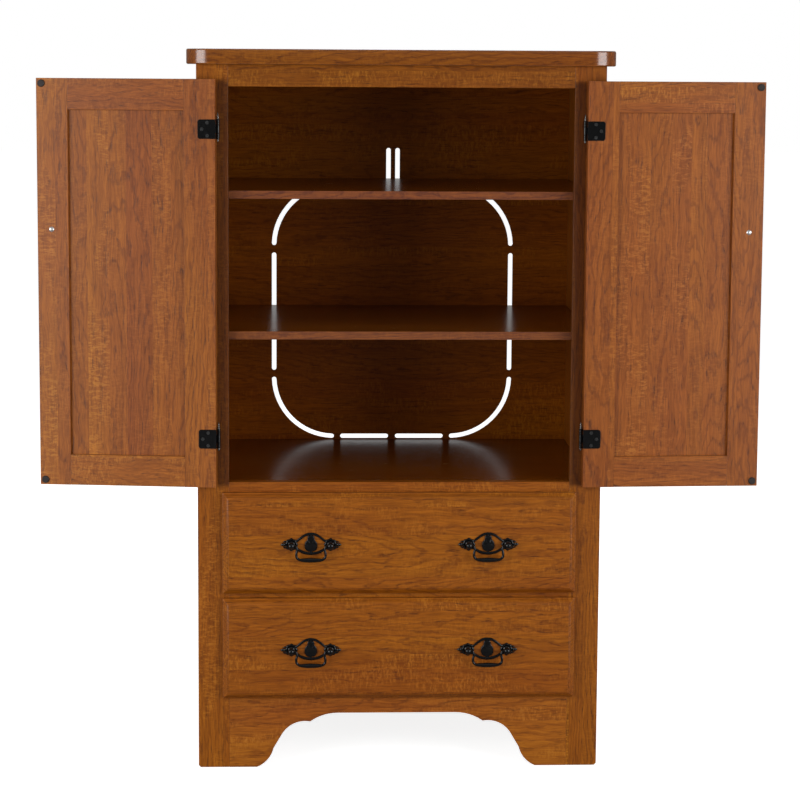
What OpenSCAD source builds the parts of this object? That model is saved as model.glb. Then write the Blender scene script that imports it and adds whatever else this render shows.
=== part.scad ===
// Television armoire: face-framed cabinet with two frame-and-panel doors that fold flat against
// the sides, two shelves, a slotted back panel and two overlay drawers with hanging bail pulls.
// The origin is on the floor, midway across the body. +X is to the viewer's right, +Y is to the
// back and +Z is up. The doors are drawn folded open and the drawers closed.

/* [Cabinet] */
// Overall height
overall_h = 1412; // [1380:1:1440]
// Width across the side panels
body_w = 787.4; // [760:0.2:820]
// Depth from the face frame's front to the back edge of the side panels
body_d = 500; // [480:1:520]
// Distance from the face frame's front to the origin
face_front = 231.4; // [220:0.1:240]
// Thickness of the side panels, deck and shelves
board_t = 16; // [15:0.5:18]

/* [Top slab] */
// Thickness of the top slab
slab_t = 29.5; // [25:0.5:32]
// Overhang of the slab past each side
slab_side = 19.8; // [15:0.1:25]
// Overhang of the slab past the face frame
slab_front = 25; // [22:1:30]
// Radius of the slab's front corners
slab_r = 50; // [30:1:60]

/* [Face frame] */
// Thickness of the face frame
frame_t = 19; // [18:0.5:20]
// Width of each stile
stile_w = 60.7; // [58:0.1:63]
// Height of the underside of the top rail
door_opening_top = 1340.5; // [1330:0.5:1350]
// Height of the deck's upper face
deck_top = 573.7; // [570:0.1:578]
// Height of the apron's straight middle edge above the floor
apron_gap = 111; // [105:1:115]

/* [Shelves] */
// Height of the upper shelf's upper face
upper_shelf_top = 1140.5; // [1120:0.5:1160]
// Height of the middle shelf's upper face
middle_shelf_top = 867; // [850:0.5:885]

/* [Doors] */
// Width of each door
door_w = 344.5; // [340:0.5:346]
// Height of each door
door_h = 787.5; // [780:0.5:790]
// Height of the doors' lower edge
door_bottom = 567; // [565:0.5:569]
// Thickness of the door frame
door_t = 18; // [17.5:0.1:18.2]
// Width of the door's stiles and rails
door_frame_w = 60; // [50:1:66]
// Angle that the left door is folded back from closed
left_open = 186.5; // [90:0.5:186.5]
// Angle that the right door is folded back from closed
right_open = 182.5; // [90:0.5:186.5]

/* [Hinges] */
// Distance of each hinge pin from the middle of the body
pin_x = 352; // [351.5:0.1:352.5]
// Distance of each hinge pin in front of the face frame
pin_out = 13.5; // [13.3:0.1:13.8]
// Height of the hinge leaves
leaf_h = 37; // [34:1:40]
// Distance of each hinge from the door's end
hinge_inset = 95; // [80:1:110]

/* [Drawers] */
// Width of each drawer front
front_w = 691; // [688:0.5:694]
// Height of each drawer front
front_h = 200; // [196:0.5:202]
// Height of the lower edge of the upper drawer front
upper_front_z = 354; // [353:0.5:356]
// Height of the lower edge of the lower drawer front
lower_front_z = 144; // [142:0.5:146]
// Height of the drawer box sides
box_h = 130; // [110:1:136]
// Length of the drawer box
box_d = 460; // [440:1:465]

/* [Pulls] */
// Distance between the two posts of a pull
post_gap = 76.2; // [74:0.1:78]
// Distance of each pull from the middle of the drawer front
pull_x = 173; // [160:1:180]

/* [Hidden] */
$fn = 48;
eps = 0.01;
over = 1;

// Colours
OAK = [0.55, 0.29, 0.12];
OAK_DARK = [0.36, 0.17, 0.07];
OAK_EDGE = [0.50, 0.28, 0.16];
PLY = [0.72, 0.56, 0.38];
PINE = [0.76, 0.60, 0.40];
BLACK = [0.06, 0.06, 0.06];
STEEL = [0.78, 0.78, 0.80];
NYLON = [0.90, 0.90, 0.88];
RUBBER = [0.09, 0.07, 0.06];

// Derived places, in the body's own coordinates: y = 0 is the front of the face frame
glide_h = 2;
half_w = body_w / 2;
side_in = half_w - board_t;
opening_half = half_w - stile_w;
carcass_top = overall_h - slab_t;
back_t = 4;
back_inset = 1;
back_low = 62;
corner_ease = 4;
rail_cover = 20;
middle_rail_z = upper_front_z + front_h - rail_cover;
divider_cover = 14;
divider_z0 = lower_front_z + front_h - divider_cover;
divider_z1 = upper_front_z + divider_cover;
apron_top = lower_front_z + rail_cover;
shelf_clear = 0.8;
shelf_front_gap = 1;
shelf_front = frame_t + shelf_front_gap;
shelf_back_gap = 2;

// Apron profile: a straight middle, a shallow arc, a cusp, then an ogee down to each foot.
// The right-hand curve sits a little nearer the middle than the left-hand one.
apron_flat = 120;
apron_right_in = 7;
shallow_r = 92.5;
cusp_x = 172;
ogee_r = 53;
ogee_x = 184;
ogee_z = 41.5;
ogee_start = 101;
ogee_end = 30;
foot_r = 54;
foot_x = 299;
foot_z = 52;
foot_start = 193;

// Knock-out slots in the back panel: a rounded rectangle of slots and a pair above it
slot_w = 9.8;
slot_half_x = 254.8;
slot_corner_r = 129.7;
slot_low_z = 580.4;
slot_high_z = 1125.3;
slot_bridge = 15;
slot_trim = 2.2;
slot_row_trim = 6;
upright_z0 = 724.7;
upright_z1 = 980;
pair_gap = 19.3;
pair_z0 = 1140;
pair_z1 = 1205.5;

// Shelf pins
peg_r = 2.5;
peg_out = 10;
peg_in = 10;
peg_front_y = 60;
peg_back_y = 440;

// Glue blocks, cleats and glides
cleat_w = 20;
cleat_y0 = 40;
cleat_y1 = 480;
block_w = 32;
block_h = 98;
glide_r = 10;
glide_edge = 0.8;

// Drawer boxes and runners
front_t = 19;
front_gap = 1;
side_clear = 13;
box_half = opening_half - side_clear;
box_t = 12;
bottom_t = 5;
bottom_up = 10;
groove_d = 5;
box_up = 30;
runner_up = 52;
runner_l = 450;
runner_y0 = 24;
runner_h = 32;
sheet_t = 1.2;
track_w = 10.5;
member_up = 2;
member_front = 2;
flange_up = 25.8;
roller_r = 11;
roller_w = 8;
roller_side = 0.6;
axle_r = 2.5;
axle_clear = 0.05;
axle_out = 0.4;
axle_head_r = 4;
axle_head_in = 0.2;
axle_head_out = 0.8;
roll_gap = 0.3;
cabinet_roller_y = 37;
drawer_roller_y = 448;
cabinet_roller_up = flange_up - roll_gap - roller_r;
drawer_roller_up = sheet_t + roll_gap + roller_r;
spacer_h = 60;
spacer_front = 1;
spacer_back = 5;

// Drawer front moulding: a rounded nose, a slope and a step around all four edges
mould_w = 12;
mould_step = 1.4;
mould_edge = 7.5;
nose_mid = [2, 1];
nose_top = [3, 2.6];
slope_end = [3, 0.9];

// Doors
back_gap = 3.5;
pin_to_edge = 4;
pin_to_back = pin_out - back_gap;
door_panel_t = 6;
panel_recess = 6;
panel_tongue = 8;
hinge_low = door_bottom + hinge_inset;
hinge_high = door_bottom + door_h - hinge_inset;
bumper_r = 7;
bumper_in = 10;
knob_in = 27;
knob_z = 1065;
knob_hole_r = 2.3;
knob_screw_r = 2;
knob_screw_clear = 0.03;
knob_screw_in = 13;
knob_head_r = 5;
knob_head_h = 2.2;
knob_r = 15;
knob_h = 27.5;
knob_drill = 15;
knob_arc = [-8, 50];
rose_h = 1.5;
rose_foot = [12, 3];
rose_neck = [7, 3.6];
neck_r = 5.5;
neck_z0 = 7;
neck_z1 = 12;
bumper_h = 3;
bumper_edge = [1.2, 1];

// The doors' own coordinates: x = 0, y = 0 is the hinge pin
door_back = pin_to_back;
door_front = pin_to_back - door_t;
edge_x = -pin_to_edge;
free_x = -pin_to_edge - door_w;
door_top = door_bottom + door_h;
panel_back = door_back - panel_recess;
panel_front = panel_back - door_panel_t;

// Hinge hardware
leaf_t = 1.2;
arm_half = 0.6;
arm_in = 2;
leaf_w = 33;
frame_leaf_w = 32;
leaf_round = 5;
barrel_r = 3.5;
pin_r = 1.6;
pin_clear = 0.05;
knuckle_half = 7;
knuckle_gap = 0.4;
head_r = 3.3;
head_t = 1.5;
slot_deep = 0.6;
slot_half = 0.4;
shank_r = 1.6;
shank_l = 12;
frame_screw_x = 18;
frame_screw_z = 10;
leaf_screws = [[-14.5, 12.5], [-14.5, -12.5], [-25, 0]];
disc_r = 2.9;
disc_h = 1.2;
disc_gap = 0.3;
ball_up_r = 2.7;
ball_down_r = 2.3;
steeple_h = 9.3;
steeple_r = 2;
steeple_tip_r = 0.4;

// Pulls
plate_t = 2.2;
arch_z = 3;
arch_r = 22;
arch_w = 4;
haunch_x = 13;
haunch_down = 2;
haunch_up = 1;
haunch_end = 2;
under_z = 12;
under_r = 35;
under_w = 4;
rosette_r = 10;
petal_at = 8;
petal_r = 4.6;
finial_at = 12;
finial_r = 5;
finial_tip = 21;
finial_half = 4.4;
medallion_r = 12.5;
medallion_z = -2;
crown_r = 8;
crown_z = 11;
stem_w = 4.4;
stem_z0 = 14;
stem_l = 10;
post_r = 4.6;
post_l = 14;
post_seat = 0.6;
post_seat_clear = 0.05;
collar_r = 7.5;
collar_h = 2.5;
ball_more = 0.9;
ball_sink = 0.5;
bore_out = 3;
bore_in = 7;
bail_pin_in = 6;
bail_out = 12;
bail_half = 28;
bail_drop = 30.5;
bail_wire = 2;
bail_pin_r = 1.7;
bail_pin_clear = 0.05;
bail_corner = 7;
grip_r = 4.2;
grip_half = 19;

// ---------- Helpers ----------

// Moves the body's own coordinates to the part's origin
module placed() { translate([0, -face_front, 0]) children(); }

// A board between two corners
module board(low, high) { translate(low) cube(high - low); }

// The same piece on the left and on the right
module both_sides() {
    children();
    mirror([1, 0, 0]) children();
}

// A cylinder along X from x0 to x1, centred on y and z
module rod_x(x0, x1, y, z, r) {
    translate([x0, y, z]) rotate([0, 90, 0]) cylinder(h = x1 - x0, r = r);
}

// A cylinder along Y from y0 to y1, centred on x and z
module rod_y(y0, y1, x, z, r) {
    translate([x, y0, z]) rotate([-90, 0, 0]) cylinder(h = y1 - y0, r = r);
}

// Extrudes an X-Z outline from y0 to y1
module plate_y(y0, y1) {
    translate([0, y1, 0]) rotate([90, 0, 0]) linear_extrude(y1 - y0) children();
}

// Points of an arc, degrees anticlockwise from +X
function arc(cx, cy, r, a0, a1, n = 14) =
    [for (i = [0:n]) let (a = a0 + (a1 - a0) * i / n) [cx + r * cos(a), cy + r * sin(a)]];

function mirrored(points) =
    [for (i = [len(points) - 1:-1:0]) [-points[i][0], points[i][1]]];

// ---------- Cabinet ----------

module top_panel() {
    w = half_w + slab_side;
    color(OAK) placed() translate([0, 0, carcass_top]) linear_extrude(slab_t) union() {
        translate([-w, slab_r - slab_front])
            square([2 * w, body_d + back_t + slab_front - slab_r]);
        translate([slab_r - w, -slab_front]) square([2 * (w - slab_r), slab_r + eps]);
        for (s = [-1, 1])
            translate([s * (w - slab_r), slab_r - slab_front]) circle(r = slab_r, $fn = 96);
    }
}

module side_panel() {
    difference() {
        board([side_in, frame_t, glide_h], [half_w, body_d, carcass_top]);
        for (shelf = [upper_shelf_top, middle_shelf_top], y = [peg_front_y, peg_back_y])
            rod_x(side_in - over, side_in + peg_in, y, shelf - board_t - peg_r, peg_r + pin_clear);
    }
}

module left_side_panel() { color(OAK) placed() mirror([1, 0, 0]) side_panel(); }
module right_side_panel() { color(OAK) placed() side_panel(); }

// A stile runs the full height; its outer lower corner is eased
module stile() {
    plate_y(0, frame_t) polygon([
        [opening_half, glide_h], [half_w - corner_ease, glide_h],
        [half_w, glide_h + corner_ease], [half_w, carcass_top], [opening_half, carcass_top]
    ]);
}

module left_stile() { color(OAK) placed() mirror([1, 0, 0]) stile(); }
module right_stile() { color(OAK) placed() stile(); }

module rail(z0, z1) { board([-opening_half, 0, z0], [opening_half, frame_t, z1]); }

module top_rail() { color(OAK) placed() rail(door_opening_top, carcass_top); }
module middle_rail() { color(OAK) placed() rail(middle_rail_z, deck_top); }
module drawer_divider_rail() { color(OAK) placed() rail(divider_z0, divider_z1); }

// Right half of the apron's lower edge, from the middle out to the stile
function apron_edge(inward) = concat(
    [[0, apron_gap]],
    arc(apron_flat - inward, apron_gap - shallow_r, shallow_r, 90,
        90 - asin((cusp_x - apron_flat) / shallow_r), 6),
    arc(ogee_x - inward, ogee_z, ogee_r, ogee_start, ogee_end, 12),
    arc(foot_x - inward, foot_z, foot_r, foot_start,
        180 + asin((foot_z - glide_h) / foot_r), 9),
    [[opening_half, glide_h]]
);

module apron() {
    color(OAK) placed() plate_y(0, frame_t)
        polygon(concat(apron_edge(apron_right_in),
            [[opening_half, apron_top], [-opening_half, apron_top]],
            mirrored(apron_edge(0))));
}

// A slot with round ends between two points of the back panel
module slot(p, q) {
    length = norm(q - p);
    angle = atan2(q[1] - p[1], q[0] - p[0]);
    translate(p) rotate(angle) union() {
        translate([0, -slot_w / 2]) square([length, slot_w]);
        circle(d = slot_w);
        translate([length, 0]) circle(d = slot_w);
    }
}

// A quarter-circle slot about a corner of the rounded rectangle
module corner_slot(cx, cz, a0, a1) {
    translate([cx, cz]) {
        intersection() {
            difference() {
                circle(r = slot_corner_r + slot_w / 2, $fn = 128);
                circle(r = slot_corner_r - slot_w / 2, $fn = 128);
            }
            polygon(concat([[0, 0]], arc(0, 0, 2 * slot_corner_r, a0, a1, 6)));
        }
        for (a = [a0, a1])
            translate(slot_corner_r * [cos(a), sin(a)]) circle(d = slot_w);
    }
}

module back_slots() {
    inset = slot_half_x - slot_corner_r;
    half_bridge = (slot_bridge + slot_w) / 2;
    both_sides() {
        slot([slot_half_x, upright_z0 + slot_w / 2], [slot_half_x, upright_z1 - slot_w / 2]);
        for (z = [slot_low_z, slot_high_z])
            slot([half_bridge, z], [inset - half_bridge - slot_row_trim, z]);
        corner_slot(inset, slot_low_z + slot_corner_r, slot_trim - 90, -slot_trim);
        corner_slot(inset, slot_high_z - slot_corner_r, slot_trim, 90 - slot_trim);
        slot([pair_gap / 2, pair_z0], [pair_gap / 2, pair_z1 - slot_w / 2]);
    }
}

module back_panel() {
    color(OAK_DARK) placed() plate_y(body_d, body_d + back_t) difference() {
        translate([back_inset - half_w, back_low])
            square([body_w - 2 * back_inset, carcass_top - back_low]);
        back_slots();
    }
}

module shelf(top) {
    x = side_in - shelf_clear;
    board([-x, shelf_front, top - board_t], [x, body_d - shelf_back_gap, top]);
}

module upper_shelf() { color(OAK_EDGE) placed() shelf(upper_shelf_top); }
module middle_shelf() { color(OAK_EDGE) placed() shelf(middle_shelf_top); }

module deck() {
    color(OAK_EDGE) placed()
        board([-side_in, frame_t, deck_top - board_t], [side_in, body_d, deck_top]);
}

// Eight pegs in the side panels carry the two shelves
module shelf_pins() {
    color(STEEL) placed() both_sides()
        for (shelf = [upper_shelf_top, middle_shelf_top], y = [peg_front_y, peg_back_y])
            rod_x(side_in - peg_out, side_in + peg_in, y, shelf - board_t - peg_r, peg_r);
}

// Strips that hold the slab and the deck to the side panels
module cleats() {
    color(PINE) placed() both_sides()
        for (top = [carcass_top, deck_top - board_t])
            board([side_in - cleat_w, cleat_y0, top - cleat_w], [side_in, cleat_y1, top]);
}

// Glue blocks in the four lower corners
module corner_blocks() {
    color(PINE) placed() both_sides()
        for (y = [frame_t, body_d - block_w])
            board([side_in - block_w, y, glide_h], [side_in, y + block_w, glide_h + block_h]);
}

module foot_glides() {
    color(BLACK) placed() both_sides()
        for (y = [frame_t + glide_r / 2, body_d - 1.5 * glide_r])
            translate([side_in - glide_r / 2, y, 0]) rotate_extrude()
                polygon([[0, 0], [glide_r - glide_edge, 0], [glide_r, glide_edge],
                    [glide_r, glide_h], [0, glide_h]]);
}

// ---------- Runners ----------

// Lower face of the channel for a drawer whose front starts at front_z
function track_z(front_z) = front_z + runner_up;
function track_middle(front_z) = track_z(front_z) + runner_h / 2;

module runner_spacers() {
    color(PINE) placed() both_sides()
        for (front_z = [upper_front_z, lower_front_z])
            board([opening_half, frame_t + spacer_front, track_middle(front_z) - spacer_h / 2],
                [side_in, body_d - spacer_back, track_middle(front_z) + spacer_h / 2]);
}

// Channel screwed to the spacer, with the axle of its front roller
module cabinet_runner(front_z) {
    z = track_z(front_z);
    x1 = opening_half;
    x0 = x1 - track_w;
    axle_z = z + cabinet_roller_up;
    difference() {
        board([x0, runner_y0, z], [x1, runner_y0 + runner_l, z + runner_h]);
        board([x0 - over, runner_y0 - over, z + sheet_t],
            [x1 - sheet_t, runner_y0 + runner_l + over, z + runner_h - sheet_t]);
    }
    rod_x(x0 - axle_out, x1 - sheet_t / 2, cabinet_roller_y, axle_z, axle_r);
    rod_x(x0 - axle_head_out, x0 - axle_head_in, cabinet_roller_y, axle_z, axle_head_r);
}

module cabinet_runners() {
    color(NYLON) placed() both_sides() {
        cabinet_runner(upper_front_z);
        cabinet_runner(lower_front_z);
    }
}

// Angle screwed to the drawer side, with the axle of its rear roller. Its top flange is
// flange_up above the channel's lower face.
module drawer_runner(front_z) {
    z = track_z(front_z);
    x0 = box_half;
    x1 = x0 + track_w;
    back = drawer_roller_y + roller_r + member_front;
    axle_z = z + drawer_roller_up;
    board([x0, member_front, z + member_up], [x0 + sheet_t, back, z + flange_up + sheet_t]);
    board([x0, member_front, z + flange_up], [x1, back, z + flange_up + sheet_t]);
    rod_x(x0 + sheet_t / 2, x1 + axle_out, drawer_roller_y, axle_z, axle_r);
    rod_x(x1 + axle_head_in, x1 + axle_head_out, drawer_roller_y, axle_z, axle_head_r);
}

module roller(x0, y, z) {
    difference() {
        rod_x(x0, x0 + roller_w, y, z, roller_r);
        rod_x(x0 - over, x0 + roller_w + over, y, z, axle_r + axle_clear);
    }
}

module cabinet_rollers(front_z) {
    color(NYLON) placed() both_sides()
        roller(opening_half - track_w + roller_side, cabinet_roller_y,
            track_z(front_z) + cabinet_roller_up);
}

module drawer_rollers(front_z) {
    color(NYLON) placed() both_sides()
        roller(box_half + sheet_t + roller_side, drawer_roller_y,
            track_z(front_z) + drawer_roller_up);
}

module upper_cabinet_rollers() { cabinet_rollers(upper_front_z); }
module lower_cabinet_rollers() { cabinet_rollers(lower_front_z); }
module upper_drawer_rollers() { drawer_rollers(upper_front_z); }
module lower_drawer_rollers() { drawer_rollers(lower_front_z); }

// ---------- Drawers ----------

// Cross-section of the moulded front: u runs across the board, v is the thickness
function moulded(w) = let (
    half = w / 2,
    step = front_t - mould_step,
    edge = [[half, 0], [half, mould_edge],
        [half - nose_mid[0], mould_edge + nose_mid[1]],
        [half - nose_top[0], mould_edge + nose_top[1]],
        [half - mould_w + slope_end[0], step - slope_end[1]],
        [half - mould_w, step], [half - mould_w, front_t]]
) concat(edge, mirrored(edge));

// The two sections cross, which mitres the moulding at the corners
module drawer_front(front_z) {
    color(OAK) placed() translate([0, -front_gap, front_z + front_h / 2]) intersection() {
        rotate([180, 0, 0]) rotate([0, 90, 0]) translate([0, 0, -front_w / 2])
            linear_extrude(front_w) polygon(moulded(front_h));
        translate([0, 0, -front_h / 2]) linear_extrude(front_h)
            polygon([for (p = moulded(front_w)) [p[0], -p[1]]]);
    }
}

// Outer sides with the groove that holds the bottom
module drawer_sides(front_z) {
    z = front_z + box_up;
    color(PLY) placed() both_sides() difference() {
        board([box_half - box_t, -front_gap, z], [box_half, box_d - front_gap, z + box_h]);
        board([box_half - box_t - over, -front_gap - over, z + bottom_up],
            [box_half - box_t + groove_d, box_d, z + bottom_up + bottom_t]);
    }
}

module drawer_ends(front_z) {
    z = front_z + box_up;
    x = box_half - box_t;
    color(PLY) placed() difference() {
        for (y = [-front_gap, box_d - front_gap - box_t])
            board([-x, y, z], [x, y + box_t, z + box_h]);
        board([-x - over, box_t - front_gap - groove_d, z + bottom_up],
            [x + over, box_d - front_gap - box_t + groove_d, z + bottom_up + bottom_t]);
    }
}

module drawer_bottom(front_z) {
    z = front_z + box_up + bottom_up;
    x = box_half - box_t + groove_d;
    color(PLY) placed() board([-x, box_t - front_gap - groove_d, z],
        [x, box_d - front_gap - box_t + groove_d, z + bottom_t]);
}

module drawer_runners(front_z) { color(NYLON) placed() both_sides() drawer_runner(front_z); }

module upper_drawer_front() { drawer_front(upper_front_z); }
module upper_drawer_sides() { drawer_sides(upper_front_z); }
module upper_drawer_ends() { drawer_ends(upper_front_z); }
module upper_drawer_bottom() { drawer_bottom(upper_front_z); }
module upper_drawer_runners() { drawer_runners(upper_front_z); }
module lower_drawer_front() { drawer_front(lower_front_z); }
module lower_drawer_sides() { drawer_sides(lower_front_z); }
module lower_drawer_ends() { drawer_ends(lower_front_z); }
module lower_drawer_bottom() { drawer_bottom(lower_front_z); }
module lower_drawer_runners() { drawer_runners(lower_front_z); }

// ---------- Pulls ----------

// Puts a pull's own coordinates on a drawer front: y = 0 is the front's face, the pull is at -y
module on_front(x, front_z) {
    translate([x, -front_gap - front_t, front_z + front_h / 2]) children();
}

// The arch over the medallion, with a straight haunch down to each post
module arch_outline() {
    half = post_gap / 2;
    inner_r = arch_r - arch_w;
    difference() {
        union() {
            translate([0, arch_z]) circle(r = arch_r);
            for (s = [-1, 1])
                polygon([[s * haunch_x, arch_r - haunch_down],
                    [s * (half - arch_w), arch_w + haunch_up],
                    [s * (half - haunch_end), 0], [s * haunch_x, 0]]);
        }
        translate([0, arch_z]) circle(r = inner_r);
        for (s = [-1, 1])
            polygon([[s * haunch_x, inner_r - arch_z],
                [s * (half - 2 * arch_w + haunch_up), haunch_end],
                [s * (half - 2 * arch_w), -arch_w], [s * haunch_x, -arch_w]]);
        translate([-2 * half, -2 * half]) square([4 * half, 2 * half]);
    }
}

// The shallow arc under the medallion
module under_outline() {
    reach = post_gap / 2 - under_w;
    intersection() {
        translate([0, under_z]) difference() {
            circle(r = under_r);
            circle(r = under_r - under_w);
        }
        translate([-reach, -under_r]) square([2 * reach, under_r]);
    }
}

// A six-petalled rosette and a pointed finial at one end
module end_outline() {
    circle(r = rosette_r);
    for (a = [0:60:300]) translate(petal_at * [cos(a), sin(a)]) circle(r = petal_r);
    translate([finial_at, 0]) circle(r = finial_r);
    polygon([[finial_at, finial_half], [finial_tip, 0], [finial_at, -finial_half]]);
}

// Openwork plate: an upper arch, a lower arc, a hanging medallion and a finial at each end
module backplate_outline() {
    half = post_gap / 2;
    difference() {
        union() {
            arch_outline();
            under_outline();
        }
        for (s = [-1, 1]) translate([s * half, 0]) circle(r = post_r);
    }
    translate([0, medallion_z]) circle(r = medallion_r);
    translate([0, crown_z]) circle(r = crown_r);
    translate([-stem_w / 2, stem_z0]) square([stem_w, stem_l]);
    translate([half, 0]) end_outline();
    mirror([1, 0]) translate([half, 0]) end_outline();
}

module backplate() {
    plate_y(-plate_t, 0) difference() {
        backplate_outline();
        for (s = [-1, 1])
            translate([s * post_gap / 2, 0]) circle(r = post_r - post_seat);
    }
}

// A turned post whose inner side is drilled for the bail's pin
module post(side) {
    x = side * post_gap / 2;
    inner = x - side * post_r;
    difference() {
        translate([x, 0, 0]) rotate([90, 0, 0]) union() {
            cylinder(h = plate_t + eps, r = post_r - post_seat - post_seat_clear);
            translate([0, 0, plate_t]) cylinder(h = collar_h, r = collar_r);
            translate([0, 0, plate_t]) cylinder(h = post_l, r = post_r);
            translate([0, 0, plate_t + post_l - ball_sink]) sphere(r = post_r + ball_more);
        }
        rod_x(inner - (side > 0 ? bore_out : bore_in), inner + (side > 0 ? bore_in : bore_out),
            -bail_out, 0, bail_pin_r + bail_pin_clear);
    }
}

// The hanging bail: pins turned outward, two arms, round corners and a swelling grip
module bail_shape() {
    low = -bail_drop;
    both_sides() {
        rod_x(bail_half - eps, post_gap / 2 - post_r + bail_pin_in, 0, 0, bail_pin_r);
        translate([bail_half, 0, 0]) sphere(r = bail_wire);
        translate([bail_half, 0, low + bail_corner]) cylinder(h = -low - bail_corner, r = bail_wire);
        translate([bail_half - bail_corner, 0, low + bail_corner]) rotate([90, 0, 0])
            rotate([0, 0, -90]) rotate_extrude(angle = 90)
                translate([bail_corner, 0]) circle(r = bail_wire);
        rod_x(0, bail_half - bail_corner, 0, low, bail_wire);
    }
    lens_r = (grip_half * grip_half + grip_r * grip_r) / (2 * grip_r);
    span = asin(grip_half / lens_r);
    translate([0, 0, low]) rotate([0, 90, 0]) rotate_extrude()
        polygon(concat([[0, -grip_half]],
            arc(grip_r - lens_r, 0, lens_r, -span, span, 10), [[0, grip_half]]));
}

module backplates(front_z) {
    color(BLACK) placed() for (s = [-1, 1]) on_front(s * pull_x, front_z) backplate();
}

module posts(front_z) {
    color(BLACK) placed() for (s = [-1, 1]) on_front(s * pull_x, front_z) {
        post(-1);
        post(1);
    }
}

module bail(side, front_z) {
    color(BLACK) placed() on_front(side * pull_x, front_z)
        translate([0, -bail_out, 0]) bail_shape();
}

module upper_drawer_backplates() { backplates(upper_front_z); }
module lower_drawer_backplates() { backplates(lower_front_z); }
module upper_drawer_posts() { posts(upper_front_z); }
module lower_drawer_posts() { posts(lower_front_z); }
module upper_left_bail() { bail(-1, upper_front_z); }
module upper_right_bail() { bail(1, upper_front_z); }
module lower_left_bail() { bail(-1, lower_front_z); }
module lower_right_bail() { bail(1, lower_front_z); }

// ---------- Hinges on the face frame ----------

module at_hinges() {
    for (z = [hinge_low, hinge_high]) translate([pin_x, -pin_out, z]) children();
}

module on_left(left) {
    if (left) mirror([1, 0, 0]) children();
    else children();
}

// Leaf outline with its outer corners rounded, from the pin's side out to w
module leaf_outline(w) {
    square_w = w - leaf_round;
    translate([0, -leaf_h / 2]) square([square_w, leaf_h]);
    translate([square_w - eps, -leaf_h / 2 + leaf_round])
        square([leaf_round + eps, leaf_h - 2 * leaf_round]);
    for (s = [-1, 1]) translate([square_w, s * (leaf_h / 2 - leaf_round)]) circle(r = leaf_round);
}

// The outer knuckles, their arms and the leaf on the stile
module frame_wing() {
    reach = leaf_h / 2 - knuckle_half - knuckle_gap;
    difference() {
        union() {
            plate_y(pin_out - leaf_t, pin_out)
                translate([-arm_half, 0]) leaf_outline(frame_leaf_w);
            for (z = [knuckle_half + knuckle_gap, -leaf_h / 2]) {
                translate([0, 0, z]) cylinder(h = reach, r = barrel_r);
                board([-arm_half, 0, z], [arm_half, pin_out - leaf_t / 2, z + reach]);
            }
        }
        translate([0, 0, -leaf_h]) cylinder(h = 2 * leaf_h, r = pin_r + pin_clear / 2);
    }
}

module hinge_frame_wings() { color(BLACK) placed() both_sides() at_hinges() frame_wing(); }

// A pin with a disc and a ball finial at each end, and a steeple on the upper ball
module hinge_pin() {
    disc_z = leaf_h / 2 + disc_gap;
    translate([0, 0, -disc_z - disc_h]) cylinder(h = 2 * (disc_z + disc_h), r = pin_r);
    translate([0, 0, disc_z]) cylinder(h = disc_h, r = disc_r);
    translate([0, 0, -disc_z - disc_h]) cylinder(h = disc_h, r = disc_r);
    translate([0, 0, disc_z + disc_h + ball_up_r / 2]) sphere(r = ball_up_r);
    translate([0, 0, -disc_z - disc_h - ball_down_r / 2]) sphere(r = ball_down_r);
    translate([0, 0, disc_z + disc_h + ball_up_r])
        cylinder(h = steeple_h, r1 = steeple_r, r2 = steeple_tip_r);
}

module hinge_pins() { color(BLACK) placed() both_sides() at_hinges() hinge_pin(); }

module hinge_frame_screws() {
    y = pin_out - leaf_t;
    color(BLACK) placed() both_sides() at_hinges()
        for (z = [-frame_screw_z, frame_screw_z]) {
            rod_y(y - slot_half, y + slot_half, frame_screw_x, z, head_r);
            rod_y(y, pin_out + shank_l, frame_screw_x, z, shank_r);
        }
}

// ---------- Doors ----------

// Draws a right-hand door folded open. Inside, x = 0, y = 0 is the hinge pin, the closed door
// reaches towards -x, and its back is towards +y.
module right_hung(angle) {
    translate([pin_x, -pin_out, 0]) rotate([0, 0, angle]) children();
}

module door_place(left) {
    placed() on_left(left) right_hung(left ? left_open : right_open) children();
}

// Groove around the inside of the door frame
module panel_space() {
    board([free_x + door_frame_w - panel_tongue, panel_front,
            door_bottom + door_frame_w - panel_tongue],
        [edge_x - door_frame_w + panel_tongue, panel_back,
            door_top - door_frame_w + panel_tongue]);
}

module door_stiles(left) {
    color(OAK) door_place(left) difference() {
        for (x = [free_x, edge_x - door_frame_w])
            board([x, door_front, door_bottom], [x + door_frame_w, door_back, door_top]);
        panel_space();
        rod_y(door_front - over, door_back + over, free_x + knob_in, knob_z, knob_hole_r);
    }
}

module door_rails(left) {
    color(OAK) door_place(left) difference() {
        for (z = [door_bottom, door_top - door_frame_w])
            board([free_x + door_frame_w, door_front, z],
                [edge_x - door_frame_w, door_back, z + door_frame_w]);
        panel_space();
    }
}

module door_panel(left) { color(OAK) door_place(left) panel_space(); }

// The inner knuckle, its arm round the door's edge and the leaf on the door's back
module door_leaf() {
    difference() {
        union() {
            plate_y(door_back, door_back + leaf_t)
                translate([edge_x + leaf_t, 0]) mirror([1, 0]) leaf_outline(leaf_w + leaf_t);
            translate([0, 0, -knuckle_half]) cylinder(h = 2 * knuckle_half, r = barrel_r);
            board([edge_x, -arm_in, -knuckle_half], [edge_x + leaf_t, door_back + leaf_t, knuckle_half]);
        }
        translate([0, 0, -leaf_h]) cylinder(h = 2 * leaf_h, r = pin_r + pin_clear);
    }
}

module at_door_hinges() {
    for (z = [hinge_low, hinge_high]) translate([0, 0, z]) children();
}

module door_hinge_leaves(left) { color(BLACK) door_place(left) at_door_hinges() door_leaf(); }

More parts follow.
